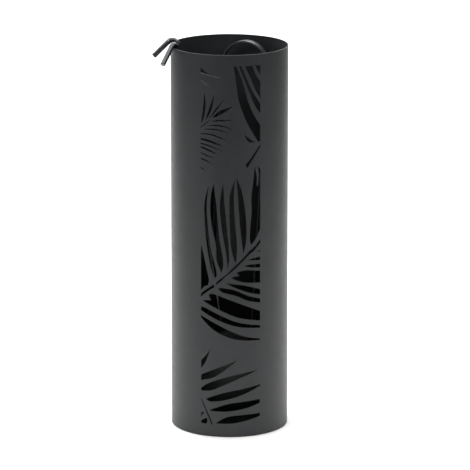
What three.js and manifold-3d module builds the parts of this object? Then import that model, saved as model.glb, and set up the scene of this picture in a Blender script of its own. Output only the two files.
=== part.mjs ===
// Leaf-cut tube stand with three hearth tools in it. Millimetres, +Z up, front towards -Y,
// origin on the floor at the middle of the tube.
import * as THREE from 'three';
import { mergeVertices } from 'three/addons/utils/BufferGeometryUtils.js';
import Module from 'manifold-3d';

const wasm = await Module();
wasm.setup();

// ---------- driving dimensions ----------
const GAP = 0.3;               // clearance between touching pieces
const TUBE_R = 75;             // outer radius of the rolled sheet
const SHEET = 1;               // sheet thickness of the tube
const TUBE_LOW = 1;            // lower edge above the floor
const TUBE_TALL = 497;         // height of the rolled sheet
const RIM = TUBE_LOW + TUBE_TALL;
const TUBE_SIDES = 72;

const FOOT_R = 69;             // soft disc glued under the base
const FOOT_THICK = 2.2;
const BASE_THICK = 2;          // base disc, welded in just above the lower edge
const BASE_LOW = FOOT_THICK + GAP;
const BASE_R = TUBE_R - SHEET - GAP;

const ROD_R = 3.5;             // round bar of the shovel and the poker
const HOOK_R = 7.2;            // bend radius of the hooked ends, at the middle of the bar
const HOOK_DROP = 45;          // how far the hooked end turns below level, degrees

const SHOVEL_LEAN = 8.5;       // lean of the shovel in the tube, degrees
const BLADE_W = 70;
const BLADE_L = 114;
const BLADE_DEEP = 13;
const BLADE_SHEET = 1.2;
const TANG_L = 40;             // flattened end of the bar behind the blade
const TANG_W = 11;
const TANG_THICK = 2.6;
const RIVET_R = 2;

const STRIP_THICK = 2;         // flat spring strip of the tongs
const STRIP_W = 12.7;
const BOW_R = 30;              // middle of the strip round the bow
const ARM_L = 387;             // straight part of each arm
const JAW_L = 62;
const JAW_W = 20;

// The leaf pattern lies in one upright window of the sheet. u runs round the front in
// millimetres of arc, to the right of the middle; v is the height over the lower edge.
const WINDOW = { left: -37.7, right: 41.2, low: 16, top: 483 };

// ---------- small helpers ----------
const rad = THREE.MathUtils.degToRad;
const V2 = (p) => new THREE.Vector2(p[0], p[1]);
const V3 = (x, y, z) => new THREE.Vector3(x, y, z);

function toSolid(geometry) {
  const g = geometry.clone();
  g.deleteAttribute('normal');
  if (g.attributes.uv) g.deleteAttribute('uv');
  const merged = mergeVertices(g, 1e-4);
  return new wasm.Manifold(new wasm.Mesh({
    numProp: 3,
    vertProperties: new Float32Array(merged.attributes.position.array),
    triVerts: new Uint32Array(merged.index.array),
  }));
}

function toGeometry(solid) {
  const m = solid.getMesh();
  const g = new THREE.BufferGeometry();
  g.setAttribute('position', new THREE.BufferAttribute(new Float32Array(m.vertProperties), 3));
  g.setIndex(new THREE.BufferAttribute(new Uint32Array(m.triVerts), 1));
  g.computeVertexNormals();
  return g;
}

function finish(colour, roughness, metalness) {
  return new THREE.MeshStandardMaterial({ color: colour, roughness, metalness });
}

function piece(name, geometry, material) {
  const mesh = new THREE.Mesh(geometry, material);
  mesh.name = name;
  return mesh;
}

// an outline extruded from y = back to y = front, its own x and y taken as x and z
function slab(points, back, front) {
  const g = new THREE.ExtrudeGeometry(new THREE.Shape(points.map(V2)),
    { depth: back - front, bevelEnabled: false });
  g.rotateX(Math.PI / 2);
  g.translate(0, back, 0);
  return g;
}

// points of a smooth line through a few given ones
function smooth(points, steps = 3) {
  if (points.length < 3) return points;
  const curve = new THREE.SplineCurve(points.map(V2));
  return curve.getPoints((points.length - 1) * steps).map((p) => [p.x, p.y]);
}

// a closed outline from smooth sides that meet in corners
function outline(...sides) {
  const all = [];
  for (const side of sides) {
    for (const p of smooth(side)) {
      const last = all[all.length - 1];
      if (!last || Math.hypot(p[0] - last[0], p[1] - last[1]) > 0.05) all.push(p);
    }
  }
  if (Math.hypot(all[0][0] - all.at(-1)[0], all[0][1] - all.at(-1)[1]) < 0.05) all.pop();
  return all;
}

// a single leaflet: a blade that arches from its base to its tip and is widest near the middle
function leaflet(base, tip, arch, width) {
  const [dx, dy] = [tip[0] - base[0], tip[1] - base[1]];
  const long = Math.hypot(dx, dy);
  const [nx, ny] = [-dy / long, dx / long];
  const at = (t, side) => {
    const off = 4 * arch * t * (1 - t) + side * width * Math.sin(Math.PI * t ** 0.8) / 2;
    return [base[0] + dx * t + nx * off, base[1] + dy * t + ny * off];
  };
  const stops = [0, 0.12, 0.3, 0.5, 0.7, 0.87];
  const upper = stops.map((t) => at(t, 1));
  const lower = stops.slice(1).map((t) => at(t, -1)).reverse();
  return [...upper, [tip[0], tip[1]], ...lower];
}

// ---------- the leaf pattern ----------
const L = WINDOW.left;
const R = WINDOW.right;
const T = WINDOW.top;

const topFrond = [
  outline([[5.3, T], [8.7, 460], [12.2, 438.3], [20.1, 415.8], [28.8, 399.2], [37.8, 385]],
    [[37.8, 385], [R, 384.8]],
    [[R, 405.8], [31.3, 420.8], [23.8, 438.3], [18, 460], [9, T]]),
  outline([[12.2, T], [20.1, 462.5], [27.2, 445], [34.7, 429.2], [R, 421.3]],
    [[R, 433.3], [30.5, 449.2], [20.5, 470.8], [15.5, T]]),
  outline([[19.8, T], [28.8, 463.3], [34.7, 450], [R, 440]],
    [[R, 461.7], [34.6, 471], [29.7, T]]),
  outline([[33.4, T], [R, 469.2]], [[R, T]]),
  outline([[19.2, 395.8], [21, 390.5], [24.5, 386], [28, 384.6], [34.2, 384.6]],
    [[34.2, 384.6], [29, 387.3], [24, 391.3], [19.2, 395.8]]),
  outline([[R, 381.5], [32, 370], [24.2, 360], [20.8, 357.2]], [[20.8, 357.2], [23.3, 351.2]],
    [[26, 356.5], [33.5, 367], [R, 377.8]]),
];

const slits = [
  outline([[L, 480.5], [-32, 475.8], [-23, 470.9], [-8.7, 467.9]], [[-20, 469.4], [L, 473.5]]),
  outline([[L, 466.5], [-27.4, 457.4]], [[L, 464.2]]),
];

const smallPalm = [
  leaflet([-36.9, 408], [-32.7, 449.2], -2.2, 3.6),
  leaflet([-31.2, 412.5], [-19.5, 447.3], -1.6, 3.4),
  leaflet([-25.8, 415.4], [-4.5, 442.4], 0.5, 1.9),
  leaflet([-21.5, 416.8], [6.5, 431.3], 1.4, 5.2),
  leaflet([-24.2, 412], [7.5, 414.2], 0.4, 2.8),
  leaflet([-28.6, 405.4], [7.6, 399.2], 4.3, 2.5),
  leaflet([-35.8, 400.8], [4.4, 393.6], 4, 2.1),
  outline([[L, 395.8], [-25, 396.3], [-11, 392.2], [1, 386.4]],
    [[1, 386.4], [-12, 390.4], [-24, 394], [L, 394.3]]),
  outline([[L, 390.2], [-22, 387], [-2, 378.2]], [[-2, 378.2], [-22, 383.9], [L, 387.2]]),
  outline([[L, 383.8], [-24, 380.9], [-8.4, 374]], [[-8.4, 374], [-24, 378.8], [L, 381.7]]),
  outline([[L, 379.2], [-26, 375.9], [-13.4, 369.2]], [[-13.4, 369.2], [-26, 373.1], [L, 376.7]]),
  outline([[L, 371.6], [-27, 368], [-15.4, 363.9]], [[-15.4, 363.9], [-27, 366.2], [L, 369.6]]),
  outline([[L, 364.3], [-29, 361.9], [-20, 355.9]], [[-20, 355.9], [-29, 359.9], [L, 361.9]]),
  outline([[L, 352.4], [-28.4, 346.6]], [[L, 350.4]]),
  outline([[L, 403.9], [-27.2, 412.7], [-26.6, 412.1], [L, 402.4]]),
];

const middleUprights = [
  outline([[L, 252], [-34.5, 241.7], [-29.5, 220], [-26.6, 206.7], [-28.3, 198.6]],
    [[-28.3, 198.6], [-32.6, 197.6], [L, 191.8]]),
  outline([[-26.6, 329.2], [-32, 309.2], [-32.4, 284.2], [-29.1, 250], [-24.1, 223.3], [-19.3, 208.3]],
    [[-19.3, 208.3], [-16.1, 214], [-17.6, 223], [-24.3, 250], [-28.7, 284.2], [-29.1, 309.2],
      [-26.6, 329.2]]),
  outline([[-20.2, 332.1], [-24.1, 313.3], [-23.9, 285], [-17.4, 252.5], [-16.2, 232.5], [-9.9, 216.3]],
    [[-9.9, 216.3], [-7.8, 231.7], [-12.8, 262], [-16.2, 300], [-20.2, 332.1]]),
  outline([[-8, 333.3], [-12.1, 305], [-9.5, 273.3], [-4.1, 241.7], [-2.2, 221.7]],
    [[-2.2, 221.7], [-0.2, 238], [-2.8, 271.7], [-5.7, 303], [-8, 333.3]]),
  outline([[7.4, 338.6], [0.9, 318.3], [0.1, 290], [1.3, 258], [3.4, 243.3], [8, 228.3]],
    [[8, 228.3], [9.7, 250], [6.8, 288.3], [5.7, 317.5], [7.4, 338.6]]),
  outline([[9, 341.3], [10.7, 317.5], [13.3, 280], [16.3, 253.3], [18.2, 240.4]],
    [[18.2, 240.4], [21.9, 262], [20.9, 290], [16.6, 319], [9, 341.3]]),
  outline([[33, 353.8], [31.8, 340], [28.5, 314], [29, 297], [26.5, 268], [27, 255.5], [28.8, 252.1]],
    [[28.8, 252.1], [34.7, 259.2], [R, 271]], [[R, 349], [36.8, 354.2]],
    [[36.8, 354.2], [39, 344], [37.6, 327.8]], [[36, 327.8], [35.8, 341], [33, 353.8]]),
];

const midrib = [
  outline([[L, 187.6], [-29.5, 194.2], [-20.2, 200.8]],
    [[-19.5, 196.9], [-24.9, 193.7], [-31.6, 188.7], [L, 183.3]]),
  outline([[-18.4, 201], [-12, 208.2], [-5.3, 213], [4.7, 223], [16.3, 234], [26, 244.4], [30.5, 247.3],
    [R, 258]],
  [[R, 253.2], [31.8, 243.4], [27.7, 241.2], [16.8, 230.8], [5.2, 219.8], [0.2, 215.8], [-6.5, 210],
    [-9.8, 206.4], [-17.4, 200.2]]),
];

const middleLower = [
  outline([[R, 243.4], [35.5, 242.8], [R, 241.8]]),
  outline([[22.6, 232.3], [31.3, 234.2], [R, 235.2]], [[R, 230.8], [30, 231.5], [22.6, 232.3]]),
  outline([[18.2, 224.6], [25, 226.3], [R, 226.1]], [[R, 221], [30, 222.2], [18.2, 224.6]]),
  outline([[9, 216.4], [13, 218], [23, 219.3], [R, 216.8]],
    [[R, 201.3], [20.5, 203.2], [8.8, 206.7], [2.2, 210.1]], [[2.2, 210.1], [7.5, 212], [12.6, 212.4]],
    [[12.6, 212.4], [10.9, 214.6], [9, 216.4]]),
  outline([[-5.3, 203.4], [4.7, 201.7], [19, 199.5], [R, 192.6]],
    [[R, 185.4], [24.7, 189.9], [8, 196.5], [-5.3, 203.4]]),
  outline([[-14.9, 196.6], [-4, 195.9], [8, 193.3], [24.7, 185.4], [R, 180.4]],
    [[R, 175], [24.7, 178.8], [8, 186.4], [-8.7, 190.7], [-14.9, 196.6]]),
  outline([[-27, 187.1], [-20.5, 188.3], [-4.5, 182.9], [20.5, 172.7], [R, 163.8]],
    [[R, 151.3], [12, 157.2], [-10.3, 166.5], [-35.8, 178.6]], [[-35.8, 178.6], [-23.3, 180.2]],
    [[-23.3, 180.2], [-25.8, 183.6], [-27, 187.1]]),
  outline([[L, 170.4], [-29.5, 168.4], [-8.7, 159.2], [12.2, 150.9], [R, 145]],
    [[R, 141.7], [12.2, 145.2], [-12.8, 153.2], [L, 165.4]]),
  outline([[L, 158.8], [-18.7, 149.8], [1.3, 140], [20.5, 131.9], [R, 127.5]],
    [[R, 125.7], [14, 127.6], [-4.5, 132.7], [-22, 142], [L, 155.8]]),
];

const bottomFrond = [
  outline([[L, 99.6], [-30.5, 107.2], [-24.5, 115.8]], [[-24.5, 115.8], [-31, 98.5], [L, 88.5]]),
  outline([[L, 80.2], [-22, 87.8], [9.7, 100.9]], [[9.7, 100.9], [-8, 86.4], [-21.5, 77.6], [L, 72.8]]),
  outline([[L, 62.4], [-30, 68.4], [-13, 76], [11.3, 82.6], [37.6, 86.4]],
    [[37.6, 86.4], [17, 78.6], [-9.5, 67], [-24, 60.4], [L, 59.2]]),
  outline([[-31.2, 48.6], [-20, 53.5], [-0.3, 59.8], [R, 66.8]],
    [[R, 64.8], [16.3, 54.8], [-8, 47.9], [-24, 45.7], [-31.2, 48.6]]),
  outline([[-26.6, 34], [-15, 38.9], [4, 44.4], [R, 47.3]],
    [[R, 42.1], [21.3, 36.8], [-0.3, 33.5], [-20.3, 33.1], [-26.6, 34]]),
  outline([[-18.3, 16.9], [-8, 23.6], [4.7, 27.4], [R, 28.8]],
    [[R, 24.6], [21.3, 20.1], [3, 17.2], [-18.3, 16.9]]),
  outline([[-37.4, 49], [-29.2, 32.4], [-21.6, 15.6]], [[-23.2, 15.2], [-30.6, 31.8], [-37.4, 46.4]]),
  outline([[L, 30], [-32.4, 30.8]], [[-32.4, 30.8], [-35.8, 28], [L, 22.4]]),
  outline([[L, 18.8], [-34, 21.4], [-29.4, 23], [-30.3, 16], [L, WINDOW.low]]),
];

const cutouts = [...topFrond, ...slits, ...smallPalm, ...middleUprights, ...midrib, ...middleLower,
  ...bottomFrond];

// ---------- stand ----------
function ringProfile(inner, outer, low, high) {
  return [[inner, low], [outer, low], [outer, high], [inner, high], [inner, low]].map(V2);
}

function makeTube() {
  const ring = new THREE.LatheGeometry(
    ringProfile(TUBE_R - SHEET, TUBE_R, TUBE_LOW, RIM), TUBE_SIDES);
  ring.rotateX(Math.PI / 2);
  let tube = toSolid(ring);
  for (const points of cutouts) {
    const flat = points.map(([u, v]) => [TUBE_R * Math.sin(u / TUBE_R), TUBE_LOW + v]);
    tube = tube.subtract(toSolid(slab(flat, -TUBE_R * 0.7, -TUBE_R * 1.1)));
  }
  return toGeometry(tube);
}

function makeDisc(radius, low, thick) {
  const profile = [[0, low], [radius, low], [radius, low + thick], [0, low + thick]];
  const g = new THREE.LatheGeometry(profile.map(V2), TUBE_SIDES);
  g.rotateX(Math.PI / 2);
  return g;
}

// ---------- tools ----------
// A round bar whose upper end is bent over into a hook. Built with the middle of the bend at
// the origin, the hooked end towards -X and the long leg leaning towards +X as it goes down.
function hookedBar(lean, legLong, hookLong) {
  const a = rad(lean);
  const end = rad(90 + HOOK_DROP);
  const top = V3(HOOK_R * Math.cos(a), 0, HOOK_R * Math.sin(a));
  const down = V3(Math.sin(a), 0, -Math.cos(a));
  const over = V3(HOOK_R * Math.cos(end), 0, HOOK_R * Math.sin(end));
  const out = V3(-Math.sin(end), 0, Math.cos(end));
  const joinLong = 6;

  const path = new THREE.CurvePath();
  path.add(new THREE.LineCurve3(over.clone().addScaledVector(out, hookLong), over));
  const arc = [];
  for (let i = 0; i <= 12; i += 1) {
    const t = THREE.MathUtils.lerp(end, a, i / 12);
    arc.push(V3(HOOK_R * Math.cos(t), 0, HOOK_R * Math.sin(t)));
  }
  for (let i = 0; i < 12; i += 1) path.add(new THREE.LineCurve3(arc[i], arc[i + 1]));
  path.add(new THREE.LineCurve3(top, top.clone().addScaledVector(down, joinLong)));
  const section = new THREE.Shape().absarc(0, 0, ROD_R, 0, 2 * Math.PI);
  const hook = new THREE.ExtrudeGeometry(section,
    { steps: 36, extrudePath: path, curveSegments: 6 });

  const leg = new THREE.CylinderGeometry(ROD_R, ROD_R, legLong - joinLong / 2, 12);
  leg.rotateX(Math.PI / 2);
  leg.translate(0, 0, -(legLong + joinLong / 2) / 2);
  leg.rotateY(-a);
  leg.translate(top.x, top.y, top.z);
  return { solid: toSolid(hook).add(toSolid(leg)), foot: top.addScaledVector(down, legLong) };
}

// moves a solid that was built round a bend to its place on the rim
function onRim(geometry, turn, middle) {
  geometry.rotateZ(rad(turn));
  geometry.translate(...middle);
  return geometry;
}

const shovelBend = [-72.65, 0, RIM - 1.5];
const shovelLeg = 379.3;
const shovelHook = 26.4;

// the blade's outline: x to its right, y up, its top edge at y = 0 where the bar ends
function bladeShape(inset, lipDrop) {
  const half = BLADE_W / 2 - inset;
  const neck = 11 - inset;
  const low = -BLADE_L - lipDrop;
  const round = 14 - inset;
  const shape = new THREE.Shape();
  shape.moveTo(-neck, -inset);
  shape.bezierCurveTo(-neck - 6, -2 - inset, -half, -9 - inset, -half, -24 - inset);
  if (lipDrop > 0) {
    shape.lineTo(-half, low);
    shape.lineTo(half, low);
  } else {
    shape.lineTo(-half, low + round);
    shape.absarc(-half + round, low + round, round, Math.PI, 1.5 * Math.PI);
    shape.absarc(half - round, low + round, round, 1.5 * Math.PI, 2 * Math.PI);
  }
  shape.lineTo(half, -24 - inset);
  shape.bezierCurveTo(half, -9 - inset, neck + 6, -2 - inset, neck, -inset);
  return shape.getPoints(6).map((p) => [p.x, p.y]);
}

const bladeBack = -TANG_THICK / 2 - 0.25;
const rivetDrops = [11, 29];

function rivetHole(drop) {
  const g = new THREE.CylinderGeometry(RIVET_R + GAP, RIVET_R + GAP, 30, 16);
  g.translate(0, 0, -drop);
  return toSolid(g);
}

function makeBlade() {
  const front = bladeBack - BLADE_DEEP;
  let blade = toSolid(slab(bladeShape(0, 0), bladeBack, front));
  blade = blade.subtract(toSolid(
    slab(bladeShape(BLADE_SHEET, 20), bladeBack - BLADE_SHEET, front - 5)));
  // the side walls fall away towards the lip
  const fall = new THREE.BoxGeometry(2 * BLADE_W, 30, 2 * BLADE_L);
  fall.rotateX(rad(6.5));
  fall.translate(0, front - 13.5, -BLADE_L / 2);
  blade = blade.subtract(toSolid(fall));
  for (const drop of rivetDrops) blade = blade.subtract(rivetHole(drop));
  return toGeometry(blade);
}

function makeRivet(drop) {
  const back = TANG_THICK / 2 + GAP;
  const front = bladeBack - BLADE_SHEET - GAP;
  const head = 3.6;
  const profile = [[0, back + 1.7], [1.6, back + 1.5], [head - 0.6, back + 0.8], [head, back],
    [RIVET_R, back], [RIVET_R, front], [head, front], [head - 0.6, front - 0.8],
    [1.6, front - 1.5], [0, front - 1.7]].reverse();
  const g = new THREE.LatheGeometry(profile.map(V2), 16);
  g.translate(0, 0, -drop);
  return g;
}

function makeShovel() {
  const bar = hookedBar(SHOVEL_LEAN, shovelLeg, shovelHook);
  const toFoot = (g) => {
    g.rotateY(-rad(SHOVEL_LEAN));
    g.translate(bar.foot.x, 0, bar.foot.z - 1);
    return g;
  };
  const tang = new THREE.BoxGeometry(TANG_W, TANG_THICK, TANG_L + 8);
  tang.translate(0, 0, 8 - (TANG_L + 8) / 2);
  let rod = bar.solid.add(toSolid(toFoot(tang)));
  for (const drop of rivetDrops) {
    const hole = toFoot(toGeometry(rivetHole(drop)));
    rod = rod.subtract(toSolid(hole));
  }
  const place = (g) => onRim(g, 0, shovelBend);
  return [
    piece('shovel_rod', place(toGeometry(rod)), barFinish),
    piece('shovel_blade', place(toFoot(makeBlade())), barFinish),
    ...rivetDrops.map((drop, i) => piece(`shovel_rivet_${i + 1}`,
      place(toFoot(makeRivet(drop))), barFinish)),
  ];
}

const pokerBend = [-70.7, -25, RIM - 3.05];
const pokerTurn = 57.3;
const pokerLean = 1.3;
const pokerHook = 28.1;
const pokerPoint = 26;

function makePoker() {
  const reach = pokerBend[2] - (BASE_LOW + BASE_THICK + GAP);
  const bar = hookedBar(pokerLean, reach - pokerPoint, pokerHook);
  const toFoot = (g) => {
    g.rotateY(-rad(pokerLean));
    g.translate(bar.foot.x, 0, bar.foot.z);
    return g;
  };
  const point = new THREE.CylinderGeometry(ROD_R, 0.8, pokerPoint, 12);
  point.rotateX(Math.PI / 2);
  point.translate(0, 0, -pokerPoint / 2 + 0.5);
  // the side spike leaves the bar above the point and curves down, away from the shovel's bar
  const spikePath = new THREE.QuadraticBezierCurve3(V3(0, 0, 22), V3(-4, -19, 20), V3(-5, -24, -2));
  const spike = new THREE.ExtrudeGeometry(new THREE.Shape().absarc(0, 0, 2.4, 0, 2 * Math.PI),
    { steps: 10, extrudePath: spikePath, curveSegments: 6 });
  const solid = bar.solid.add(toSolid(toFoot(point))).add(toSolid(toFoot(spike)));
  return [piece('poker', onRim(toGeometry(solid), pokerTurn, pokerBend), barFinish)];
}

const tongsMiddle = [20.5, 50, 462.9];
const tongsTurn = -18;
const tongsLean = 2.5;        // down goes to the tongs' left
const tongsPitch = -2.3;      // down goes to the front
const bowLeg = 8;
const tipHalf = 18;           // half the distance between the jaw tips at rest

function placeTongs(g) {
  g.rotateX(rad(tongsPitch));
  g.rotateY(rad(tongsLean));
  return onRim(g, tongsTurn, tongsMiddle);
}

function makeBow() {
  const [outer, inner] = [BOW_R + STRIP_THICK / 2, BOW_R - STRIP_THICK / 2];
  const shape = new THREE.Shape();
  shape.moveTo(outer, -bowLeg);
  shape.lineTo(outer, 0);
  shape.absarc(0, 0, outer, 0, Math.PI);
  shape.lineTo(-outer, -bowLeg);
  shape.lineTo(-inner, -bowLeg);
  shape.lineTo(-inner, 0);
  shape.absarc(0, 0, inner, Math.PI, 0, true);
  shape.lineTo(inner, -bowLeg);
  return placeTongs(slab(shape.getPoints(16).map((p) => [p.x, p.y]), STRIP_W / 2, -STRIP_W / 2));
}

// side +1 is the right arm, -1 the left
function makeArm(side) {
  const half = STRIP_THICK / 2;
  const top = -bowLeg - GAP;
  const bend = top - ARM_L;
  const line = new THREE.CubicBezierCurve(new THREE.Vector2(BOW_R, bend),
    new THREE.Vector2(BOW_R, bend - JAW_L * 0.45), new THREE.Vector2(tipHalf + 7, bend - JAW_L * 0.7),
    new THREE.Vector2(tipHalf, bend - JAW_L)).getPoints(8);
  const outerSide = line.map((p) => [side * (p.x + half), p.y]);
  const innerSide = line.map((p) => [side * (p.x - half), p.y]).reverse();
  const strip = slab([[side * (BOW_R + half), top], ...outerSide, ...innerSide,
    [side * (BOW_R - half), top]], STRIP_W / 2, -STRIP_W / 2);
  // the jaw is the strip's end beaten out wider
  const jaw = slab([...outerSide, ...innerSide], JAW_W / 2, -JAW_W / 2);
  const leaf = new THREE.CylinderGeometry(JAW_L * 0.62, JAW_L * 0.62, 4 * BOW_R, 32);
  leaf.rotateZ(Math.PI / 2);
  leaf.scale(1, JAW_W / JAW_L / 1.24, 1);
  leaf.translate(0, 0, bend - JAW_L * 0.42);
  const ends = toSolid(jaw).intersect(toSolid(leaf));
  return placeTongs(toGeometry(toSolid(strip).add(ends)));
}

// ---------- the object ----------
const coated = finish('#3a3d3f', 0.5, 0.2);
const dark = finish('#2c2e30', 0.55, 0.2);
const soft = finish('#1b1b1c', 0.9, 0);
const barFinish = finish('#303335', 0.35, 0.5);

const stand = new THREE.Group();
stand.add(
  piece('tube', makeTube(), coated),
  piece('base_disc', makeDisc(BASE_R, BASE_LOW, BASE_THICK), dark),
  piece('foot_disc', makeDisc(FOOT_R, 0, FOOT_THICK), soft),
  ...makeShovel(),
  ...makePoker(),
  piece('tongs_bow', makeBow(), barFinish),
  piece('tongs_arm_left', makeArm(-1), barFinish),
  piece('tongs_arm_right', makeArm(1), barFinish),
);

export default stand;
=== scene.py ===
"""Looks of the leaf-cut tube stand and the three hearth tools in it. Metres, +Z up, front to -Y."""
import math

import bpy
import numpy as np
from mathutils import Matrix, Vector


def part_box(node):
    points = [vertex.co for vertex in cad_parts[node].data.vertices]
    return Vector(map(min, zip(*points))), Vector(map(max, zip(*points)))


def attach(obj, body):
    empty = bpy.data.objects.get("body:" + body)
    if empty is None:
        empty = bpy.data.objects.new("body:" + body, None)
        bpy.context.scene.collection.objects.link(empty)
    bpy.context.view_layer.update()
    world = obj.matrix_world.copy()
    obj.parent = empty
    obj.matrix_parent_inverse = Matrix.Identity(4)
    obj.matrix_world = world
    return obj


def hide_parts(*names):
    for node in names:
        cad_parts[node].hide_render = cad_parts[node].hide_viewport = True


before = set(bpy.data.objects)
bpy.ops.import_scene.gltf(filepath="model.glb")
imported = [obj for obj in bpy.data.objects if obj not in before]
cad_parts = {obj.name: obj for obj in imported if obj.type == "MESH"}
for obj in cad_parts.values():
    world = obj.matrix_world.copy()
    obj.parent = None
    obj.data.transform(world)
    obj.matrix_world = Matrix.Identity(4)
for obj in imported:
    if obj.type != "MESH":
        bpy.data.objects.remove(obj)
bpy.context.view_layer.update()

MM = 0.001

# ---------- the maker's sizes ----------
SHEET = 1.0 * MM
ROD_R = 3.5 * MM
HOOK_R = 7.2 * MM
HOOK_DROP = 45.0  # degrees that a hook's free end points below the horizontal
BLADE_W = 70 * MM
BLADE_L = 114 * MM
BLADE_DEEP = 13 * MM
BLADE_SHEET = 1.2 * MM
TANG_THICK = 2.6 * MM
RIVET_R = 2.0 * MM
STRIP_THICK = 2.0 * MM
STRIP_W = 12.7 * MM
JAW_L = 62 * MM
JAW_W = 20 * MM
TIP_HALF = 18 * MM

tube_low, tube_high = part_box("tube")
TUBE_R = tube_high.x
RIM = tube_high.z
LOWER_EDGE = tube_low.z


# ---------- helpers ----------
def deselect():
    if bpy.context.object and bpy.context.object.mode != "OBJECT":
        bpy.ops.object.mode_set(mode="OBJECT")
    bpy.ops.object.select_all(action="DESELECT")


def name_new(name):
    made = bpy.context.object
    made.name = name
    made.data.name = name
    return made


def edit(obj):
    deselect()
    obj.select_set(True)
    bpy.context.view_layer.objects.active = obj
    bpy.ops.object.mode_set(mode="EDIT")
    bpy.ops.mesh.select_all(action="DESELECT")


def done():
    bpy.ops.object.mode_set(mode="OBJECT")


def pick(obj, test, kind="FACE"):
    """Selects only the faces, edges or vertices whose middle passes the test."""
    bpy.ops.mesh.select_all(action="DESELECT")
    bpy.ops.mesh.select_mode(type=kind)
    bpy.ops.object.mode_set(mode="OBJECT")
    mesh = obj.data
    if kind == "FACE":
        for face in mesh.polygons:
            face.select = test(face.center, face.normal)
    elif kind == "EDGE":
        for e in mesh.edges:
            a, b = (mesh.vertices[i].co for i in e.vertices)
            e.select = test((a + b) / 2, b - a)
    else:
        for v in mesh.vertices:
            v.select = test(v.co, v.normal)
    bpy.ops.object.mode_set(mode="EDIT")


def modifier(obj, kind, **settings):
    """Adds a modifier and applies it at once."""
    deselect()
    obj.select_set(True)
    bpy.context.view_layer.objects.active = obj
    mod = obj.modifiers.new(kind.lower(), kind)
    for key, value in settings.items():
        setattr(mod, key, value)
    bpy.ops.object.modifier_apply(modifier=mod.name)
    return obj


def cut(obj, tool, operation="DIFFERENCE"):
    modifier(obj, "BOOLEAN", object=tool, operation=operation, solver="EXACT")
    bpy.data.objects.remove(tool)
    return obj


def place(obj, matrix):
    """Moves a piece to where it belongs and leaves its object at the origin."""
    deselect()
    obj.select_set(True)
    bpy.context.view_layer.objects.active = obj
    bpy.context.view_layer.update()
    obj.matrix_world = matrix @ obj.matrix_world
    bpy.ops.object.transform_apply(location=True, rotation=True, scale=True)
    return obj


def tidy_mesh(obj, angle=35):
    """Merges doubles, turns faces outwards and shades round stretches smooth."""
    edit(obj)
    bpy.ops.mesh.select_all(action="SELECT")
    bpy.ops.mesh.remove_doubles(threshold=0.00001)
    bpy.ops.mesh.normals_make_consistent(inside=False)
    done()
    bpy.ops.object.shade_smooth_by_angle(angle=math.radians(angle))
    return obj


# ---------- colours and node helper ----------
def linear(hex_colour):
    """sRGB hex to the linear values that the shader takes."""
    out = []
    for i in (1, 3, 5):
        c = int(hex_colour[i:i + 2], 16) / 255
        out.append(c / 12.92 if c <= 0.04045 else ((c + 0.055) / 1.055) ** 2.4)
    return (*out, 1.0)


def add(tree, kind, links=None, **settings):
    """Adds a node: settings are its properties or, as numbers or names, its input sockets' values."""
    node = tree.nodes.new(kind)
    for key, value in settings.items():
        if hasattr(node, key) and not isinstance(getattr(node, key), bpy.types.bpy_prop_collection):
            setattr(node, key, value)
        else:
            node.inputs[key.replace("_", " ")].default_value = value
    for socket, source in (links or {}).items():
        tree.links.new(source, node.inputs[socket])
    return node


def new_material(name, roughness, metallic=0.0, **shader):
    mat = bpy.data.materials.new(name)
    mat.use_nodes = True
    tree = mat.node_tree
    principled = tree.nodes["Principled BSDF"]
    principled.inputs["Roughness"].default_value = roughness
    principled.inputs["Metallic"].default_value = metallic
    for key, value in shader.items():
        principled.inputs[key.replace("_", " ")].default_value = value
    place_of = add(tree, "ShaderNodeTexCoord").outputs["Object"]
    return mat, tree, principled, place_of


def per_mm(spacing):
    """Noise scale whose features are about that many millimetres across."""
    return 1 / (spacing * MM)


def cloudy_tone(tree, at, light, deep, fleck_tone):
    """Slow drift between two tones, with sparse flecks of a third."""
    cloud = add(tree, "ShaderNodeTexNoise", {"Vector": at}, Scale=per_mm(38), Detail=3.0)
    tone = add(tree, "ShaderNodeValToRGB", {"Fac": cloud.outputs["Fac"]})
    tone.color_ramp.elements[0].position = 0.35
    tone.color_ramp.elements[0].color = linear(deep)
    tone.color_ramp.elements[1].position = 0.68
    tone.color_ramp.elements[1].color = linear(light)
    speck = add(tree, "ShaderNodeTexNoise", {"Vector": at}, Scale=per_mm(1.3), Detail=2.0)
    fleck = add(tree, "ShaderNodeMapRange", {"Value": speck.outputs["Fac"]})
    fleck.inputs["From Min"].default_value = 0.66
    fleck.inputs["From Max"].default_value = 0.78
    fleck.inputs["To Max"].default_value = 0.16
    mixed = add(tree, "ShaderNodeMix", data_type="RGBA")
    tree.links.new(fleck.outputs["Result"], mixed.inputs["Factor"])
    tree.links.new(tone.outputs["Color"], mixed.inputs["A"])
    mixed.inputs["B"].default_value = linear(fleck_tone)
    return mixed.outputs["Result"]


def weld_ridge(tree, at, height):
    """Adds the ground-down weld up the middle of the back: 2.4 mm wide, a little uneven."""
    split = add(tree, "ShaderNodeSeparateXYZ", {"Vector": at})
    off = add(tree, "ShaderNodeMath", {0: split.outputs["X"]}, operation="ABSOLUTE")
    band = add(tree, "ShaderNodeMapRange", {"Value": off.outputs[0]})
    band.inputs["From Min"].default_value = 0.7 * MM
    band.inputs["From Max"].default_value = 1.8 * MM
    band.inputs["To Min"].default_value = 1.0
    band.inputs["To Max"].default_value = 0.0
    back = add(tree, "ShaderNodeMath", {0: split.outputs["Y"]}, operation="GREATER_THAN")
    back.inputs[1].default_value = 0.0
    ridge = add(tree, "ShaderNodeMath", {0: band.outputs["Result"], 1: back.outputs[0]},
                operation="MULTIPLY")
    raised = add(tree, "ShaderNodeMath", {0: ridge.outputs[0], 2: height},
                 operation="MULTIPLY_ADD")
    raised.inputs[1].default_value = 3.0
    return raised.outputs[0]


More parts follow.
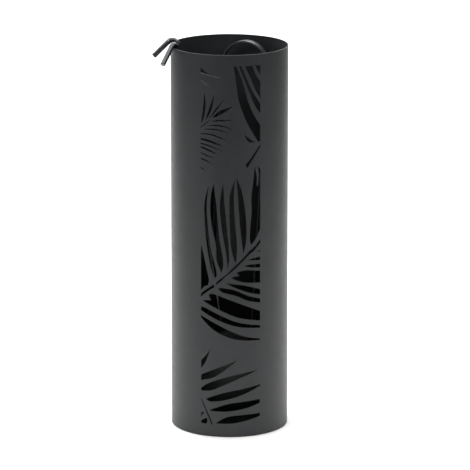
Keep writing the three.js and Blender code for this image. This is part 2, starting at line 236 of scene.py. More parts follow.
def wear_and_edge_highlight(tree, tone, eased, rub, wear_and_highlight):
    """Mixes in a lighter tone where the eased edge turns away from the flat face: rubbed wear together
    with a painted edge highlight.
    """
    true = add(tree, "ShaderNodeNewGeometry").outputs["Normal"]
    flat = add(tree, "ShaderNodeVectorMath", {0: eased, 1: true}, operation="DOT_PRODUCT")
    edge = add(tree, "ShaderNodeMapRange", {"Value": flat.outputs["Value"]})
    edge.inputs["From Min"].default_value = 0.96
    edge.inputs["From Max"].default_value = 0.8
    edge.inputs["To Max"].default_value = wear_and_highlight
    worn_and_lit = add(tree, "ShaderNodeMath", {0: edge.outputs["Result"], 1: rub}, operation="MULTIPLY")
    rubbed_and_lit = add(tree, "ShaderNodeMix", data_type="RGBA")
    tree.links.new(worn_and_lit.outputs[0], rubbed_and_lit.inputs["Factor"])
    tree.links.new(tone, rubbed_and_lit.inputs["A"])
    # the light grey on the edges is partly rubbed wear and partly a painted highlight where edges catch
    # the light
    rubbed_and_lit.inputs["B"].default_value = linear("#8b8d8f")
    return rubbed_and_lit.outputs["Result"]


def coated_steel(name, light, deep, roughness, grain=0.9, bump=0.02, seam=False, metallic=0.0,
                 gloss_coat=0.0, fleck_tone="#3a3c3e", wear_and_highlight=0.2):
    """Powder coat, enamel or dark plating on steel: an even film with a fine orange-peel
    skin, slightly cloudy in tone and gloss, and lighter on its eased edges: rubbed wear and a painted
    highlight."""
    mat, tree, shader, at = new_material(name, roughness, metallic, Coat_Weight=gloss_coat,
                                         Coat_Roughness=0.12)
    tone = cloudy_tone(tree, at, light, deep, fleck_tone)

    rub = add(tree, "ShaderNodeTexNoise", {"Vector": at}, Scale=per_mm(9), Detail=4.0)
    gloss = add(tree, "ShaderNodeMapRange", {"Value": rub.outputs["Fac"]})
    gloss.inputs["To Min"].default_value = roughness - 0.06
    gloss.inputs["To Max"].default_value = roughness + 0.08
    tree.links.new(gloss.outputs["Result"], shader.inputs["Roughness"])

    peel = add(tree, "ShaderNodeTexNoise", {"Vector": at}, Scale=per_mm(grain), Detail=2.0)
    height = peel.outputs["Fac"]
    if seam:
        height = weld_ridge(tree, at, height)
    eased = add(tree, "ShaderNodeBevel", samples=4, Radius=0.35 * MM).outputs["Normal"]
    skin = add(tree, "ShaderNodeBump", {"Height": height, "Normal": eased},
               Strength=0.25, Distance=bump * MM)
    tree.links.new(skin.outputs["Normal"], shader.inputs["Normal"])

    worn_and_lit = wear_and_edge_highlight(tree, tone, eased, rub.outputs["Fac"], wear_and_highlight)
    tree.links.new(worn_and_lit, shader.inputs["Base Color"])
    return mat


def foam_rubber(name):
    """Closed-cell EVA foam: flat black, with pores of about 0.6 mm and dusty patches."""
    mat, tree, shader, at = new_material(name, 0.92)
    cells = add(tree, "ShaderNodeTexVoronoi", {"Vector": at}, Scale=per_mm(1.2))
    dust = add(tree, "ShaderNodeTexNoise", {"Vector": at}, Scale=per_mm(14), Detail=4.0)
    tone = add(tree, "ShaderNodeValToRGB", {"Fac": dust.outputs["Fac"]})
    tone.color_ramp.elements[0].position = 0.4
    tone.color_ramp.elements[0].color = linear("#161616")
    tone.color_ramp.elements[1].position = 0.75
    tone.color_ramp.elements[1].color = linear("#2b2a29")
    tree.links.new(tone.outputs["Color"], shader.inputs["Base Color"])
    skin = add(tree, "ShaderNodeBump", {"Height": cells.outputs["Distance"]},
               Strength=0.5, Distance=0.2 * MM)
    tree.links.new(skin.outputs["Normal"], shader.inputs["Normal"])
    return mat


def matt_paper(name):
    """Seamless studio paper under the stand."""
    mat, tree, shader, at = new_material(name, 0.9)
    grain = add(tree, "ShaderNodeTexNoise", {"Vector": at}, Scale=per_mm(400), Detail=2.0)
    tone = add(tree, "ShaderNodeValToRGB", {"Fac": grain.outputs["Fac"]})
    tone.color_ramp.elements[0].color = linear("#f4f4f3")
    tone.color_ramp.elements[1].color = linear("#f8f8f7")
    tree.links.new(tone.outputs["Color"], shader.inputs["Base Color"])
    return mat


TUBE_COAT = coated_steel("satin_powder_coat", "#1f2123", "#1b1d1f", 0.44, grain=0.8, bump=0.03,
                         seam=True)
BASE_COAT = coated_steel("powder_coat_floor", "#1c1e1f", "#181a1b", 0.55)
# the last number lightens the edges, as wear and as a painted highlight; it is strongest on the tongs'
# strip
BAR_PLATE = coated_steel("black_nickel_bar", "#505254", "#434547", 0.2, grain=0.7, bump=0.015,
                         metallic=0.9, gloss_coat=0.3, fleck_tone="#5c5e60", wear_and_highlight=0.55)
STRIP_PLATE = coated_steel("black_nickel_strip", "#525457", "#47494c", 0.33, grain=0.9,
                           metallic=0.6, gloss_coat=0.3, fleck_tone="#5c5e60", wear_and_highlight=0.9)
BLADE_COAT = coated_steel("dark_blade_coat", "#1b1c1e", "#16171a", 0.42, grain=1.1, bump=0.01,
                          fleck_tone="#232527", wear_and_highlight=0.4)
FOAM = foam_rubber("eva_foam")
PAPER = matt_paper("studio_paper")


def dress(obj, material, body, slot, *nodes):
    obj.data.materials.clear()
    obj.data.materials.append(material)
    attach(obj, body)
    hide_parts(*nodes)
    return obj


# ---------- the leaf pattern ----------
# It lies in one upright window of the sheet. u runs round the front in millimetres of arc,
# to the right of the middle; v is the height over the lower edge in millimetres.
L, R, LOW, T = -37.7, 41.2, 16, 483


def smooth(points, steps=7):
    """Points of a smooth line through a few given ones (uniform Catmull-Rom)."""
    if len(points) < 3:
        return [tuple(p) for p in points]
    pts = [np.array(p, float) for p in points]
    out = []
    for i in range(len(pts) - 1):
        p0, p1, p2 = pts[max(i - 1, 0)], pts[i], pts[i + 1]
        p3 = pts[min(i + 2, len(pts) - 1)]
        for k in range(steps):
            t = k / steps
            v0, v1 = (p2 - p0) / 2, (p3 - p1) / 2
            out.append(tuple((2 * p1 - 2 * p2 + v0 + v1) * t**3
                             + (3 * p2 - 3 * p1 - 2 * v0 - v1) * t**2 + v0 * t + p1))
    return out + [tuple(pts[-1])]


def outline(*sides):
    """A closed outline from smooth sides that meet in corners."""
    points = []
    for side in sides:
        for p in smooth(side):
            if not points or math.dist(p, points[-1]) > 0.04:
                points.append(p)
    if math.dist(points[0], points[-1]) < 0.04:
        points.pop()
    return points


def leaflet(base, tip, arch, width):
    """A blade that arches from its base to its tip and is widest near the middle."""
    dx, dy = tip[0] - base[0], tip[1] - base[1]
    long = math.hypot(dx, dy)
    nx, ny = -dy / long, dx / long

    def at(t, side):
        off = 4 * arch * t * (1 - t) + side * width * math.sin(math.pi * t**0.8) / 2
        return base[0] + dx * t + nx * off, base[1] + dy * t + ny * off

    stops = [i / 14 for i in range(14)]
    return ([at(t, 1) for t in stops] + [tuple(tip)]
            + [at(t, -1) for t in reversed(stops[1:])])


TOP_FROND = [
  outline([[5.3, T], [8.7, 460], [12.2, 438.3], [20.1, 415.8], [28.8, 399.2], [37.8, 385]],
    [[37.8, 385], [R, 384.8]],
    [[R, 405.8], [31.3, 420.8], [23.8, 438.3], [18, 460], [9, T]]),
  outline([[12.2, T], [20.1, 462.5], [27.2, 445], [34.7, 429.2], [R, 421.3]],
    [[R, 433.3], [30.5, 449.2], [20.5, 470.8], [15.5, T]]),
  outline([[19.8, T], [28.8, 463.3], [34.7, 450], [R, 440]],
    [[R, 461.7], [34.6, 471], [29.7, T]]),
  outline([[33.4, T], [R, 469.2]], [[R, T]]),
  outline([[19.2, 395.8], [21, 390.5], [24.5, 386], [28, 384.6], [34.2, 384.6]],
    [[34.2, 384.6], [29, 387.3], [24, 391.3], [19.2, 395.8]]),
  outline([[R, 381.5], [32, 370], [24.2, 360], [20.8, 357.2]], [[20.8, 357.2], [23.3, 351.2]],
    [[26, 356.5], [33.5, 367], [R, 377.8]]),
]

SLITS = [
  outline([[L, 480.5], [-32, 475.8], [-23, 470.9], [-8.7, 467.9]], [[-20, 469.4], [L, 473.5]]),
  outline([[L, 466.5], [-27.4, 457.4]], [[L, 464.2]]),
]

SMALL_PALM = [
  leaflet([-36.9, 408], [-32.7, 449.2], -2.2, 3.6),
  leaflet([-31.2, 412.5], [-19.5, 447.3], -1.6, 3.4),
  leaflet([-25.8, 415.4], [-4.5, 442.4], 0.5, 1.9),
  leaflet([-21.5, 416.8], [6.5, 431.3], 1.4, 5.2),
  leaflet([-24.2, 412], [7.5, 414.2], 0.4, 2.8),
  leaflet([-28.6, 405.4], [7.6, 399.2], 4.3, 2.5),
  leaflet([-35.8, 400.8], [4.4, 393.6], 4, 2.1),
  outline([[L, 395.8], [-25, 396.3], [-11, 392.2], [1, 386.4]],
    [[1, 386.4], [-12, 390.4], [-24, 394], [L, 394.3]]),
  outline([[L, 390.2], [-22, 387], [-2, 378.2]], [[-2, 378.2], [-22, 383.9], [L, 387.2]]),
  outline([[L, 383.8], [-24, 380.9], [-8.4, 374]], [[-8.4, 374], [-24, 378.8], [L, 381.7]]),
  outline([[L, 379.2], [-26, 375.9], [-13.4, 369.2]], [[-13.4, 369.2], [-26, 373.1], [L, 376.7]]),
  outline([[L, 371.6], [-27, 368], [-15.4, 363.9]], [[-15.4, 363.9], [-27, 366.2], [L, 369.6]]),
  outline([[L, 364.3], [-29, 361.9], [-20, 355.9]], [[-20, 355.9], [-29, 359.9], [L, 361.9]]),
  outline([[L, 352.4], [-28.4, 346.6]], [[L, 350.4]]),
  outline([[L, 403.9], [-27.2, 412.7], [-26.6, 412.1], [L, 402.4]]),
]

MIDDLE_UPRIGHTS = [
  outline([[L, 252], [-34.5, 241.7], [-29.5, 220], [-26.6, 206.7], [-28.3, 198.6]],
    [[-28.3, 198.6], [-32.6, 197.6], [L, 191.8]]),
  outline([[-26.6, 329.2], [-32, 309.2], [-32.4, 284.2], [-29.1, 250], [-24.1, 223.3], [-19.3, 208.3]],
    [[-19.3, 208.3], [-16.1, 214], [-17.6, 223], [-24.3, 250], [-28.7, 284.2], [-29.1, 309.2],
      [-26.6, 329.2]]),
  outline([[-20.2, 332.1], [-24.1, 313.3], [-23.9, 285], [-17.4, 252.5], [-16.2, 232.5], [-9.9, 216.3]],
    [[-9.9, 216.3], [-7.8, 231.7], [-12.8, 262], [-16.2, 300], [-20.2, 332.1]]),
  outline([[-8, 333.3], [-12.1, 305], [-9.5, 273.3], [-4.1, 241.7], [-2.2, 221.7]],
    [[-2.2, 221.7], [-0.2, 238], [-2.8, 271.7], [-5.7, 303], [-8, 333.3]]),
  outline([[7.4, 338.6], [0.9, 318.3], [0.1, 290], [1.3, 258], [3.4, 243.3], [8, 228.3]],
    [[8, 228.3], [9.7, 250], [6.8, 288.3], [5.7, 317.5], [7.4, 338.6]]),
  outline([[9, 341.3], [10.7, 317.5], [13.3, 280], [16.3, 253.3], [18.2, 240.4]],
    [[18.2, 240.4], [21.9, 262], [20.9, 290], [16.6, 319], [9, 341.3]]),
  outline([[33, 353.8], [31.8, 340], [28.5, 314], [29, 297], [26.5, 268], [27, 255.5], [28.8, 252.1]],
    [[28.8, 252.1], [34.7, 259.2], [R, 271]], [[R, 349], [36.8, 354.2]],
    [[36.8, 354.2], [39, 344], [37.6, 327.8]], [[36, 327.8], [35.8, 341], [33, 353.8]]),
]

MIDRIB = [
  outline([[L, 187.6], [-29.5, 194.2], [-20.2, 200.8]],
    [[-19.5, 196.9], [-24.9, 193.7], [-31.6, 188.7], [L, 183.3]]),
  outline([[-18.4, 201], [-12, 208.2], [-5.3, 213], [4.7, 223], [16.3, 234], [26, 244.4], [30.5, 247.3],
    [R, 258]],
  [[R, 253.2], [31.8, 243.4], [27.7, 241.2], [16.8, 230.8], [5.2, 219.8], [0.2, 215.8], [-6.5, 210],
    [-9.8, 206.4], [-17.4, 200.2]]),
]

MIDDLE_LOWER = [
  outline([[R, 243.4], [35.5, 242.8], [R, 241.8]]),
  outline([[22.6, 232.3], [31.3, 234.2], [R, 235.2]], [[R, 230.8], [30, 231.5], [22.6, 232.3]]),
  outline([[18.2, 224.6], [25, 226.3], [R, 226.1]], [[R, 221], [30, 222.2], [18.2, 224.6]]),
  outline([[9, 216.4], [13, 218], [23, 219.3], [R, 216.8]],
    [[R, 201.3], [20.5, 203.2], [8.8, 206.7], [2.2, 210.1]], [[2.2, 210.1], [7.5, 212], [12.6, 212.4]],
    [[12.6, 212.4], [10.9, 214.6], [9, 216.4]]),
  outline([[-5.3, 203.4], [4.7, 201.7], [19, 199.5], [R, 192.6]],
    [[R, 185.4], [24.7, 189.9], [8, 196.5], [-5.3, 203.4]]),
  outline([[-14.9, 196.6], [-4, 195.9], [8, 193.3], [24.7, 185.4], [R, 180.4]],
    [[R, 175], [24.7, 178.8], [8, 186.4], [-8.7, 190.7], [-14.9, 196.6]]),
  outline([[-27, 187.1], [-20.5, 188.3], [-4.5, 182.9], [20.5, 172.7], [R, 163.8]],
    [[R, 151.3], [12, 157.2], [-10.3, 166.5], [-35.8, 178.6]], [[-35.8, 178.6], [-23.3, 180.2]],
    [[-23.3, 180.2], [-25.8, 183.6], [-27, 187.1]]),
  outline([[L, 170.4], [-29.5, 168.4], [-8.7, 159.2], [12.2, 150.9], [R, 145]],
    [[R, 141.7], [12.2, 145.2], [-12.8, 153.2], [L, 165.4]]),
  outline([[L, 158.8], [-18.7, 149.8], [1.3, 140], [20.5, 131.9], [R, 127.5]],
    [[R, 125.7], [14, 127.6], [-4.5, 132.7], [-22, 142], [L, 155.8]]),
]

BOTTOM_FROND = [
  outline([[L, 99.6], [-30.5, 107.2], [-24.5, 115.8]], [[-24.5, 115.8], [-31, 98.5], [L, 88.5]]),
  outline([[L, 80.2], [-22, 87.8], [9.7, 100.9]], [[9.7, 100.9], [-8, 86.4], [-21.5, 77.6], [L, 72.8]]),
  outline([[L, 62.4], [-30, 68.4], [-13, 76], [11.3, 82.6], [37.6, 86.4]],
    [[37.6, 86.4], [17, 78.6], [-9.5, 67], [-24, 60.4], [L, 59.2]]),
  outline([[-31.2, 48.6], [-20, 53.5], [-0.3, 59.8], [R, 66.8]],
    [[R, 64.8], [16.3, 54.8], [-8, 47.9], [-24, 45.7], [-31.2, 48.6]]),
  outline([[-26.6, 34], [-15, 38.9], [4, 44.4], [R, 47.3]],
    [[R, 42.1], [21.3, 36.8], [-0.3, 33.5], [-20.3, 33.1], [-26.6, 34]]),
  outline([[-18.3, 16.9], [-8, 23.6], [4.7, 27.4], [R, 28.8]],
    [[R, 24.6], [21.3, 20.1], [3, 17.2], [-18.3, 16.9]]),
  outline([[-37.4, 49], [-29.2, 32.4], [-21.6, 15.6]], [[-23.2, 15.2], [-30.6, 31.8], [-37.4, 46.4]]),
  outline([[L, 30], [-32.4, 30.8]], [[-32.4, 30.8], [-35.8, 28], [L, 22.4]]),
  outline([[L, 18.8], [-34, 21.4], [-29.4, 23], [-30.3, 16], [L, LOW]]),
]

CUTOUTS = TOP_FROND + SLITS + SMALL_PALM + MIDDLE_UPRIGHTS + MIDRIB + MIDDLE_LOWER + BOTTOM_FROND


# ---------- building blocks ----------
def flat_curve(name, outlines, **settings):
    """Closed flat outlines in XY, filled: the first is the edge and the rest are holes."""
    curve = bpy.data.curves.new(name, "CURVE")
    curve.dimensions = "2D"
    curve.fill_mode = "BOTH"
    for key, value in settings.items():
        setattr(curve, key, value)
    for points in outlines:
        spline = curve.splines.new("POLY")
        spline.points.add(len(points) - 1)
        for target, (x, y) in zip(spline.points, points):
            target.co = (x, y, 0, 1)
        spline.use_cyclic_u = True
    return to_mesh(name, curve)


def to_mesh(name, curve):
    obj = bpy.data.objects.new(name, curve)
    bpy.context.scene.collection.objects.link(obj)
    deselect()
    obj.select_set(True)
    bpy.context.view_layer.objects.active = obj
    bpy.ops.object.convert(target="MESH")
    return name_new(name)


def swept_bar(name, points, radii):
    """A round bar along a line of points with a radius at each."""
    curve = bpy.data.curves.new(name, "CURVE")
    curve.dimensions = "3D"
    curve.bevel_depth = 1.0
    curve.bevel_resolution = 6
    curve.use_fill_caps = True
    spline = curve.splines.new("POLY")
    spline.points.add(len(points) - 1)
    for target, point, radius in zip(spline.points, points, radii):
        target.co = (*point, 1)
        target.radius = radius
    return tidy_mesh(to_mesh(name, curve), 40)


def lathe(name, profile, steps=48):
    """A turned piece from a half profile of (radius, height) points, closed at the axis."""
    curve = bpy.data.curves.new(name, "CURVE")
    curve.dimensions = "3D"
    spline = curve.splines.new("POLY")
    spline.points.add(len(profile) - 1)
    for target, (r, z) in zip(spline.points, profile):
        target.co = (r, 0, z, 1)
    obj = to_mesh(name, curve)
    edit(obj)
    bpy.ops.mesh.select_all(action="SELECT")
    bpy.ops.mesh.spin(steps=steps, angle=2 * math.pi, center=(0, 0, 0), axis=(0, 0, 1))
    done()
    return tidy_mesh(obj, 30)


def turn(axis, degrees):
    return Matrix.Rotation(math.radians(degrees), 4, axis)


def shift(x, y, z):
    return Matrix.Translation((x, y, z))


# ---------- stand ----------
def roll(obj):
    """Rolls a flat sheet (X round the tube, Y up, Z outwards) into the tube."""
    mesh = obj.data
    co = np.empty(len(mesh.vertices) * 3, np.float32)
    mesh.vertices.foreach_get("co", co)
    co = co.reshape(-1, 3)
    angle = co[:, 0] / TUBE_R
    radius = TUBE_R - SHEET / 2 + co[:, 2]
    rolled = np.stack([radius * np.sin(angle), -radius * np.cos(angle),
                       LOWER_EDGE + co[:, 1]], 1)
    mesh.vertices.foreach_set("co", rolled.astype(np.float32).ravel())
    mesh.update()


def round_normals(obj):
    """The two walls shade as true cylinders; the cut edges keep their own facing."""
    mesh = obj.data
    normals = []
    for face in mesh.polygons:
        out = Vector((face.center.x, face.center.y, 0)).normalized()
        facing = face.normal.dot(out)
        for i in face.vertices:
            v = mesh.vertices[i].co
            across = Vector((v.x, v.y, 0)).normalized()
            normals.append(across * math.copysign(1, facing) if abs(facing) > 0.95
                           else face.normal)
    mesh.normals_split_custom_set([tuple(n) for n in normals])


def make_tube():
    """One sheet: the leaves are cut flat, then it is rolled and welded up the back."""
    half = math.pi * TUBE_R
    tall = RIM - LOWER_EDGE
    over = 4 * MM  # spare at each side, trimmed off at the seam
    edge = [(-half - over, 0), (half + over, 0), (half + over, tall), (-half - over, tall)]
    holes = [[(u * MM, v * MM) for u, v in points] for points in CUTOUTS]
    sheet = flat_curve("rolled_tube", [edge, *holes], extrude=SHEET / 2)
    edit(sheet)
    bpy.ops.mesh.select_all(action="SELECT")
    bpy.ops.mesh.remove_doubles(threshold=0.000005)
    strips = 144
    for i in range(1, strips):
        bpy.ops.mesh.select_all(action="SELECT")
        bpy.ops.mesh.bisect(plane_co=(-half + 2 * half * i / strips, 0, 0), plane_no=(1, 0, 0))
    for x, outer in ((-half, False), (half, True)):
        bpy.ops.mesh.select_all(action="SELECT")
        bpy.ops.mesh.bisect(plane_co=(x, 0, 0), plane_no=(1, 0, 0), clear_outer=outer,
                            clear_inner=not outer)
    done()
    roll(sheet)
    tidy_mesh(sheet, 30)
    round_normals(sheet)
    return dress(sheet, TUBE_COAT, "stand", "coated_sheet", "tube")


def eased_disc(name, node, ease):
    """A disc in its CAD box, with its two rims eased."""
    low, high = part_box(node)
    r = high.x
    return lathe(name, [(0, low.z), (r - ease, low.z), (r, low.z + ease),
                        (r, high.z - ease), (r - ease, high.z), (0, high.z)], 96)


def make_base():
    disc = eased_disc("welded_base", "base_disc", 0.4 * MM)
    return dress(disc, BASE_COAT, "stand", "coated_base", "base_disc")


def make_foot():
    foot = eased_disc("glued_foot", "foot_disc", 0.5 * MM)
    return dress(foot, FOAM, "stand", "foam_foot", "foot_disc")


# ---------- shovel and poker ----------
def hook_line(lean, leg, hook):
    """Line of a bar with a hooked top; the bend's middle is at the origin."""
    a, end = math.radians(lean), math.radians(90 + HOOK_DROP)
    arc = [Vector((HOOK_R * math.cos(t), 0, HOOK_R * math.sin(t)))
           for t in np.linspace(end, a, 25)]
    out = Vector((-math.sin(end), 0, math.cos(end)))
    down = Vector((math.sin(a), 0, -math.cos(a)))
    chamfer = 0.6 * MM
    points = [arc[0] + out * hook, arc[0] + out * (hook - chamfer), *arc,
              arc[-1] + down * leg / 2, arc[-1] + down * leg]
    radii = [ROD_R - chamfer] + [ROD_R] * (len(points) - 1)
    return points, radii, down


SHOVEL_LEAN = 8.5
SHOVEL_AT = shift(-72.65 * MM, 0, RIM - 1.5 * MM)
SHOVEL_LEG = 379.3 * MM
SHOVEL_HOOK = 26.4 * MM
BLADE_BACK = -TANG_THICK / 2 - 0.25 * MM
RIVET_DROPS = (11 * MM, 29 * MM)


def shovel_foot():
    """From the blade's own frame (origin at the middle of its top edge) to its place."""
    a = math.radians(SHOVEL_LEAN)
    foot = Vector((HOOK_R * math.cos(a) + SHOVEL_LEG * math.sin(a), 0,
                   HOOK_R * math.sin(a) - SHOVEL_LEG * math.cos(a) - 1 * MM))
    return SHOVEL_AT @ Matrix.Translation(foot) @ turn("Y", -SHOVEL_LEAN)


def drill(obj, drop):
    bpy.ops.mesh.primitive_cylinder_add(vertices=32, radius=RIVET_R + 0.1 * MM,
                                        depth=40 * MM, location=(0, 0, -drop),
                                        rotation=(math.pi / 2, 0, 0))
    return cut(obj, bpy.context.object)


def make_tang():
    """The bar's end, forged from round to a flat tongue that lies behind the blade."""
    bpy.ops.mesh.primitive_cylinder_add(vertices=32, radius=ROD_R, depth=2 * MM,
                                        location=(0, 0, 9 * MM))
    tang = name_new("tang")
    edit(tang)
    steps = [(0.8, 1.25, 2.5), (0.72, 1.17, 3), (0.75, 1.09, 3.5)]
    pick(tang, lambda c, n: n.z < -0.9)
    for thin, wide, down in steps:
        bpy.ops.mesh.extrude_region_move(TRANSFORM_OT_translate={"value": (0, 0, -down * MM)})
        bpy.ops.transform.resize(value=(wide, thin, 1))
    bpy.ops.mesh.extrude_region_move(TRANSFORM_OT_translate={"value": (0, 0, -34 * MM)})
    bpy.ops.mesh.extrude_region_move(TRANSFORM_OT_translate={"value": (0, 0, -4.8 * MM)})
    bpy.ops.transform.resize(value=(0.55, 0.9, 1))
    done()
    tidy_mesh(tang, 40)
    for drop in RIVET_DROPS:
        drill(tang, drop)
    return place(tang, shovel_foot())


def make_shovel_rod():
    points, radii, down = hook_line(SHOVEL_LEAN, SHOVEL_LEG - 9 * MM, SHOVEL_HOOK)
    rod = place(swept_bar("shovel_bar", points, radii), SHOVEL_AT)
    cut(rod, make_tang(), "UNION")
    tidy_mesh(rod, 40)
    return dress(rod, BAR_PLATE, "shovel", "tool_bar", "shovel_rod")


def bezier(p0, p1, p2, p3, steps):
    return [tuple((1 - t)**3 * a + 3 * (1 - t)**2 * t * b + 3 * (1 - t) * t * t * c + t**3 * d
                  for a, b, c, d in zip(p0, p1, p2, p3))
            for t in (i / steps for i in range(steps + 1))]


def make_blade():
    """Pressed scoop: flat back, walls folded forward on a 3 mm radius, falling to the lip."""
    half, neck, corner = BLADE_W / 2, 11 * MM, 14 * MM
    side = bezier((neck, 0), (neck + 6 * MM, -2 * MM), (half, -9 * MM), (half, -24 * MM), 10)
    side.append((half, -62 * MM))
    side += [(half - corner + corner * math.cos(t), -BLADE_L + corner - corner * math.sin(t))
             for t in np.linspace(0, math.pi / 2, 9)]
    shape = side + [(-x, z) for x, z in reversed(side)]
    blade = flat_curve("pressed_blade", [shape])
    edit(blade)
    bpy.ops.mesh.select_all(action="SELECT")
    bpy.ops.mesh.dissolve_limited(angle_limit=0.01)
    bpy.ops.mesh.select_all(action="SELECT")
    bpy.ops.mesh.extrude_region_move(TRANSFORM_OT_translate={"value": (0, 0, BLADE_DEEP)})
    pick(blade, lambda c, n: c.z > BLADE_DEEP - 1e-5 and abs(n.z) > 0.9)
    bpy.ops.mesh.delete(type="FACE")
    lip = -BLADE_L + 9 * MM
    pick(blade, lambda c, n: c.z > 1e-4 and c.y < lip)
    bpy.ops.mesh.delete(type="FACE")
    pick(blade, lambda m, d: abs(m.z) < 1e-5 and m.y > lip
         and not (abs(m.x) < 1e-4 and abs(d.y) > 0.02), "EDGE")
    bpy.ops.mesh.bevel(offset=3 * MM, segments=4, affect="EDGES", clamp_overlap=True)
    fall = math.tan(math.radians(6.5))
    bpy.ops.mesh.select_all(action="SELECT")
    bpy.ops.mesh.bisect(plane_co=(0, -57 * MM, BLADE_DEEP - 1.6 * MM),
                        plane_no=(0, -fall, 1), clear_outer=True)
    done()
    tidy_mesh(blade, 40)
    modifier(blade, "SOLIDIFY", thickness=BLADE_SHEET, offset=-1)
    modifier(blade, "BEVEL", width=0.3 * MM, segments=2, limit_method="ANGLE",
             angle_limit=math.radians(50))
    place(blade, turn("X", 90))
    place(blade, shift(0, BLADE_BACK, 0))
    for drop in RIVET_DROPS:
        drill(blade, drop)
    place(blade, shovel_foot())
    tidy_mesh(blade, 40)
    return dress(blade, BLADE_COAT, "shovel", "tool_sheet", "shovel_blade")


def make_rivets():
    back = TANG_THICK / 2 + 0.3 * MM
    front = BLADE_BACK - BLADE_SHEET - 0.3 * MM
    head, crown = 3.6 * MM, 1.7 * MM
    dome = [(head * math.cos(t), crown * math.sin(t)) for t in np.linspace(0, math.pi / 2, 9)]
    dome[-1] = (0, crown)
    profile = ([(r, back + h) for r, h in reversed(dome)]
               + [(RIVET_R, back), (RIVET_R, front)] + [(r, front - h) for r, h in dome])
    for i, drop in enumerate(RIVET_DROPS):
        rivet = lathe(f"domed_rivet_{i + 1}", profile, 32)
        place(rivet, turn("X", -90))
        place(rivet, shift(0, 0, -drop))
        place(rivet, shovel_foot())
        dress(rivet, BAR_PLATE, "shovel", "tool_bar", f"shovel_rivet_{i + 1}")


POKER_BEND_Z = RIM - 3.05 * MM
POKER_AT = shift(-70.7 * MM, -25 * MM, POKER_BEND_Z) @ turn("Z", 57.3)
POKER_LEAN = 1.3
POKER_HOOK = 28.1 * MM
POKER_POINT = 26 * MM
SPIKE_R = 2.35 * MM


def make_poker():
    """Bar with a hooked top, a drawn-out point and a side spike forged from the same bar."""
    base_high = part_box("base_disc")[1].z
    reach = POKER_BEND_Z - base_high - 0.3 * MM
    points, radii, down = hook_line(POKER_LEAN, reach - POKER_POINT, POKER_HOOK)
    foot = points[-1]
    points += [foot + down * POKER_POINT * t for t in (0.35, 0.7, 0.93, 0.975)]
    radii += [ROD_R * 0.78, ROD_R * 0.46, ROD_R * 0.3, ROD_R * 0.15]
    poker = swept_bar("forged_poker", points, radii)
    p0, p1, p2 = (Vector(p) * MM for p in ((0, 0, 22), (-4, -19, 20), (-5, -24, -1.6)))
    line = [(1 - t)**2 * p0 + 2 * (1 - t) * t * p1 + t * t * p2 for t in np.linspace(0, 1, 17)]
    thick = [SPIKE_R * (1 - 0.6 * t * t) for t in np.linspace(0, 1, 17)]
    spike = swept_bar("spike", line, thick)
    place(spike, Matrix.Translation(foot) @ turn("Y", -POKER_LEAN))
    cut(poker, spike, "UNION")
    place(poker, POKER_AT)
    tidy_mesh(poker, 40)
    return dress(poker, BAR_PLATE, "poker", "tool_bar", "poker")


# ---------- tongs ----------
TONGS_AT = (shift(20.5 * MM, 50 * MM, 462.9 * MM) @ turn("Z", -18) @ turn("Y", 2.5)
            @ turn("X", -2.3))
BOW_R = 30 * MM
BOW_LEG = 8 * MM
ARM_L = 387 * MM


def ease_edges(obj, width=0.45 * MM):
    modifier(obj, "BEVEL", width=width, segments=3, limit_method="ANGLE",
             angle_limit=math.radians(50))
    return tidy_mesh(obj, 40)


def make_bow():
    """Spring strip bent into an arch."""
    out, inn = BOW_R + STRIP_THICK / 2, BOW_R - STRIP_THICK / 2
    turns = np.linspace(0, math.pi, 49)
    shape = ([(out, -BOW_LEG)] + [(out * math.cos(t), out * math.sin(t)) for t in turns]
             + [(-out, -BOW_LEG), (-inn, -BOW_LEG)]
             + [(inn * math.cos(t), inn * math.sin(t)) for t in reversed(turns)]
             + [(inn, -BOW_LEG)])
    bow = flat_curve("spring_bow", [shape], extrude=STRIP_W / 2)
    place(bow, turn("X", 90))
    ease_edges(tidy_mesh(bow))
    place(bow, TONGS_AT)
    return dress(bow, STRIP_PLATE, "tongs", "tool_sheet", "tongs_bow")


def make_arm(side, name, body):
    """One arm: the strip runs straight down, turns in and is beaten out into a jaw."""
    top = -BOW_LEG - 0.3 * MM
    bend = top - ARM_L
    jaw = bezier((BOW_R, bend), (BOW_R, bend - JAW_L * 0.45),
                 (TIP_HALF + 7 * MM, bend - JAW_L * 0.7), (TIP_HALF, bend - JAW_L), 20)
    line = [(BOW_R, top), (BOW_R, (top + bend) / 2)] + jaw

    def half_width(z):
        from_middle = (z - (bend - JAW_L * 0.42)) / (JAW_L * 0.62)
        wide = JAW_W / 2 * math.sqrt(max(0, 1 - from_middle**2))
        nose = max(0, 1 - (z - (bend - JAW_L)) / (5 * MM))
        return (max(STRIP_W / 2, wide)) * (1 - 0.35 * nose**2)

    bpy.ops.mesh.primitive_grid_add(x_subdivisions=2, y_subdivisions=len(line) - 1, size=1)
    arm = name_new(name)
    for v in arm.data.vertices:
        x, z = line[round((0.5 - v.co.y) * (len(line) - 1))]
        v.co = (side * x, 2 * v.co.x * half_width(z), z)
    arm.data.update()
    tidy_mesh(arm)
    modifier(arm, "SOLIDIFY", thickness=STRIP_THICK, offset=0)
    ease_edges(arm)
    place(arm, TONGS_AT)
    label = "left" if side < 0 else "right"
    return dress(arm, STRIP_PLATE, body, "tool_sheet", f"tongs_arm_{label}")


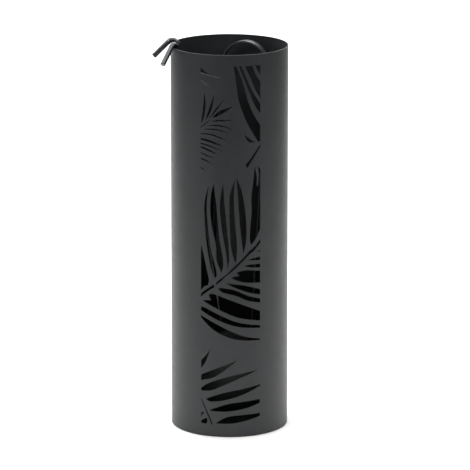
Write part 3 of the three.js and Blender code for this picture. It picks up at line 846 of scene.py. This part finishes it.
# ---------- studio ----------
# name, place, size, watts, the point it faces
SOFTBOXES = [
    ("overhead", (0, 1.2, 2.6), (6, 6), 270, (0, 1.2, 0)),
    ("backdrop", (0, 4.3, 1.4), (3, 2.4), 34, (0, 0, 1.2)),
    ("left_back", (-2.0, 2.2, 1.8), (0.5, 1.4), 44, (0, 0, 0.5)),
    ("front_left", (-1.4, -1.9, 1.9), (0.3, 0.3), 13, (0, 0, 0.45)),
    ("front_right", (1.6, -2.4, 2.0), (0.7, 0.7), 5, (0, 0, 0.4)),
]
CAMERA_AT = (0.00713, -4.40999, 1.31978)
CAMERA_DIP = 0.23821  # radians below the horizontal
FOCAL_LENGTH = 270.1  # mm on a sensor 36 mm wide


def softbox(name, at, size, power, towards):
    light = bpy.data.lights.new(name, "AREA")
    light.shape = "RECTANGLE"
    light.size, light.size_y = size
    light.energy = power
    lamp = bpy.data.objects.new(name, light)
    lamp.location = at
    lamp.rotation_euler = (Vector(towards) - Vector(at)).to_track_quat("-Z", "Y").to_euler()
    bpy.context.scene.collection.objects.link(lamp)
    return lamp


def make_studio():
    deselect()
    bpy.ops.mesh.primitive_plane_add(size=1, location=(0, 0, 0))
    floor = name_new("paper_floor")
    place(floor, shift(0, 1.8, 0) @ Matrix.Diagonal((2.6, 5.2, 1, 1)))
    floor.data.materials.append(PAPER)

    world = bpy.data.worlds.new("studio")
    bpy.context.scene.world = world
    world.use_nodes = True
    tree = world.node_tree
    sky = tree.nodes["Background"]
    sky.inputs["Color"].default_value = linear("#ffffff")
    sky.inputs["Strength"].default_value = 0.2
    # past the paper's edge the room reads as white, while it lights the object only dimly
    white = add(tree, "ShaderNodeBackground", Strength=1.0)
    white.inputs["Color"].default_value = linear("#ffffff")
    seen = add(tree, "ShaderNodeLightPath").outputs["Is Camera Ray"]
    room = add(tree, "ShaderNodeMixShader")
    tree.links.new(seen, room.inputs[0])
    tree.links.new(sky.outputs[0], room.inputs[1])
    tree.links.new(white.outputs[0], room.inputs[2])
    tree.links.new(room.outputs[0], tree.nodes["World Output"].inputs["Surface"])

    for light in SOFTBOXES:
        softbox(*light)


def make_camera():
    camera = bpy.data.cameras.new("camera")
    camera.lens = FOCAL_LENGTH
    camera.sensor_width = 36
    camera.clip_end = 50
    eye = bpy.data.objects.new("camera", camera)
    eye.location = CAMERA_AT
    eye.rotation_euler = (math.pi / 2 - CAMERA_DIP, 0, 0)
    bpy.context.scene.collection.objects.link(eye)
    bpy.context.scene.camera = eye
    bpy.context.scene.view_settings.view_transform = "Standard"


make_tube()
make_base()
make_foot()
make_shovel_rod()
make_blade()
make_rivets()
make_poker()
make_bow()
make_arm(-1, "left_arm", "tongs_left")
make_arm(1, "right_arm", "tongs_right")
make_studio()
make_camera()
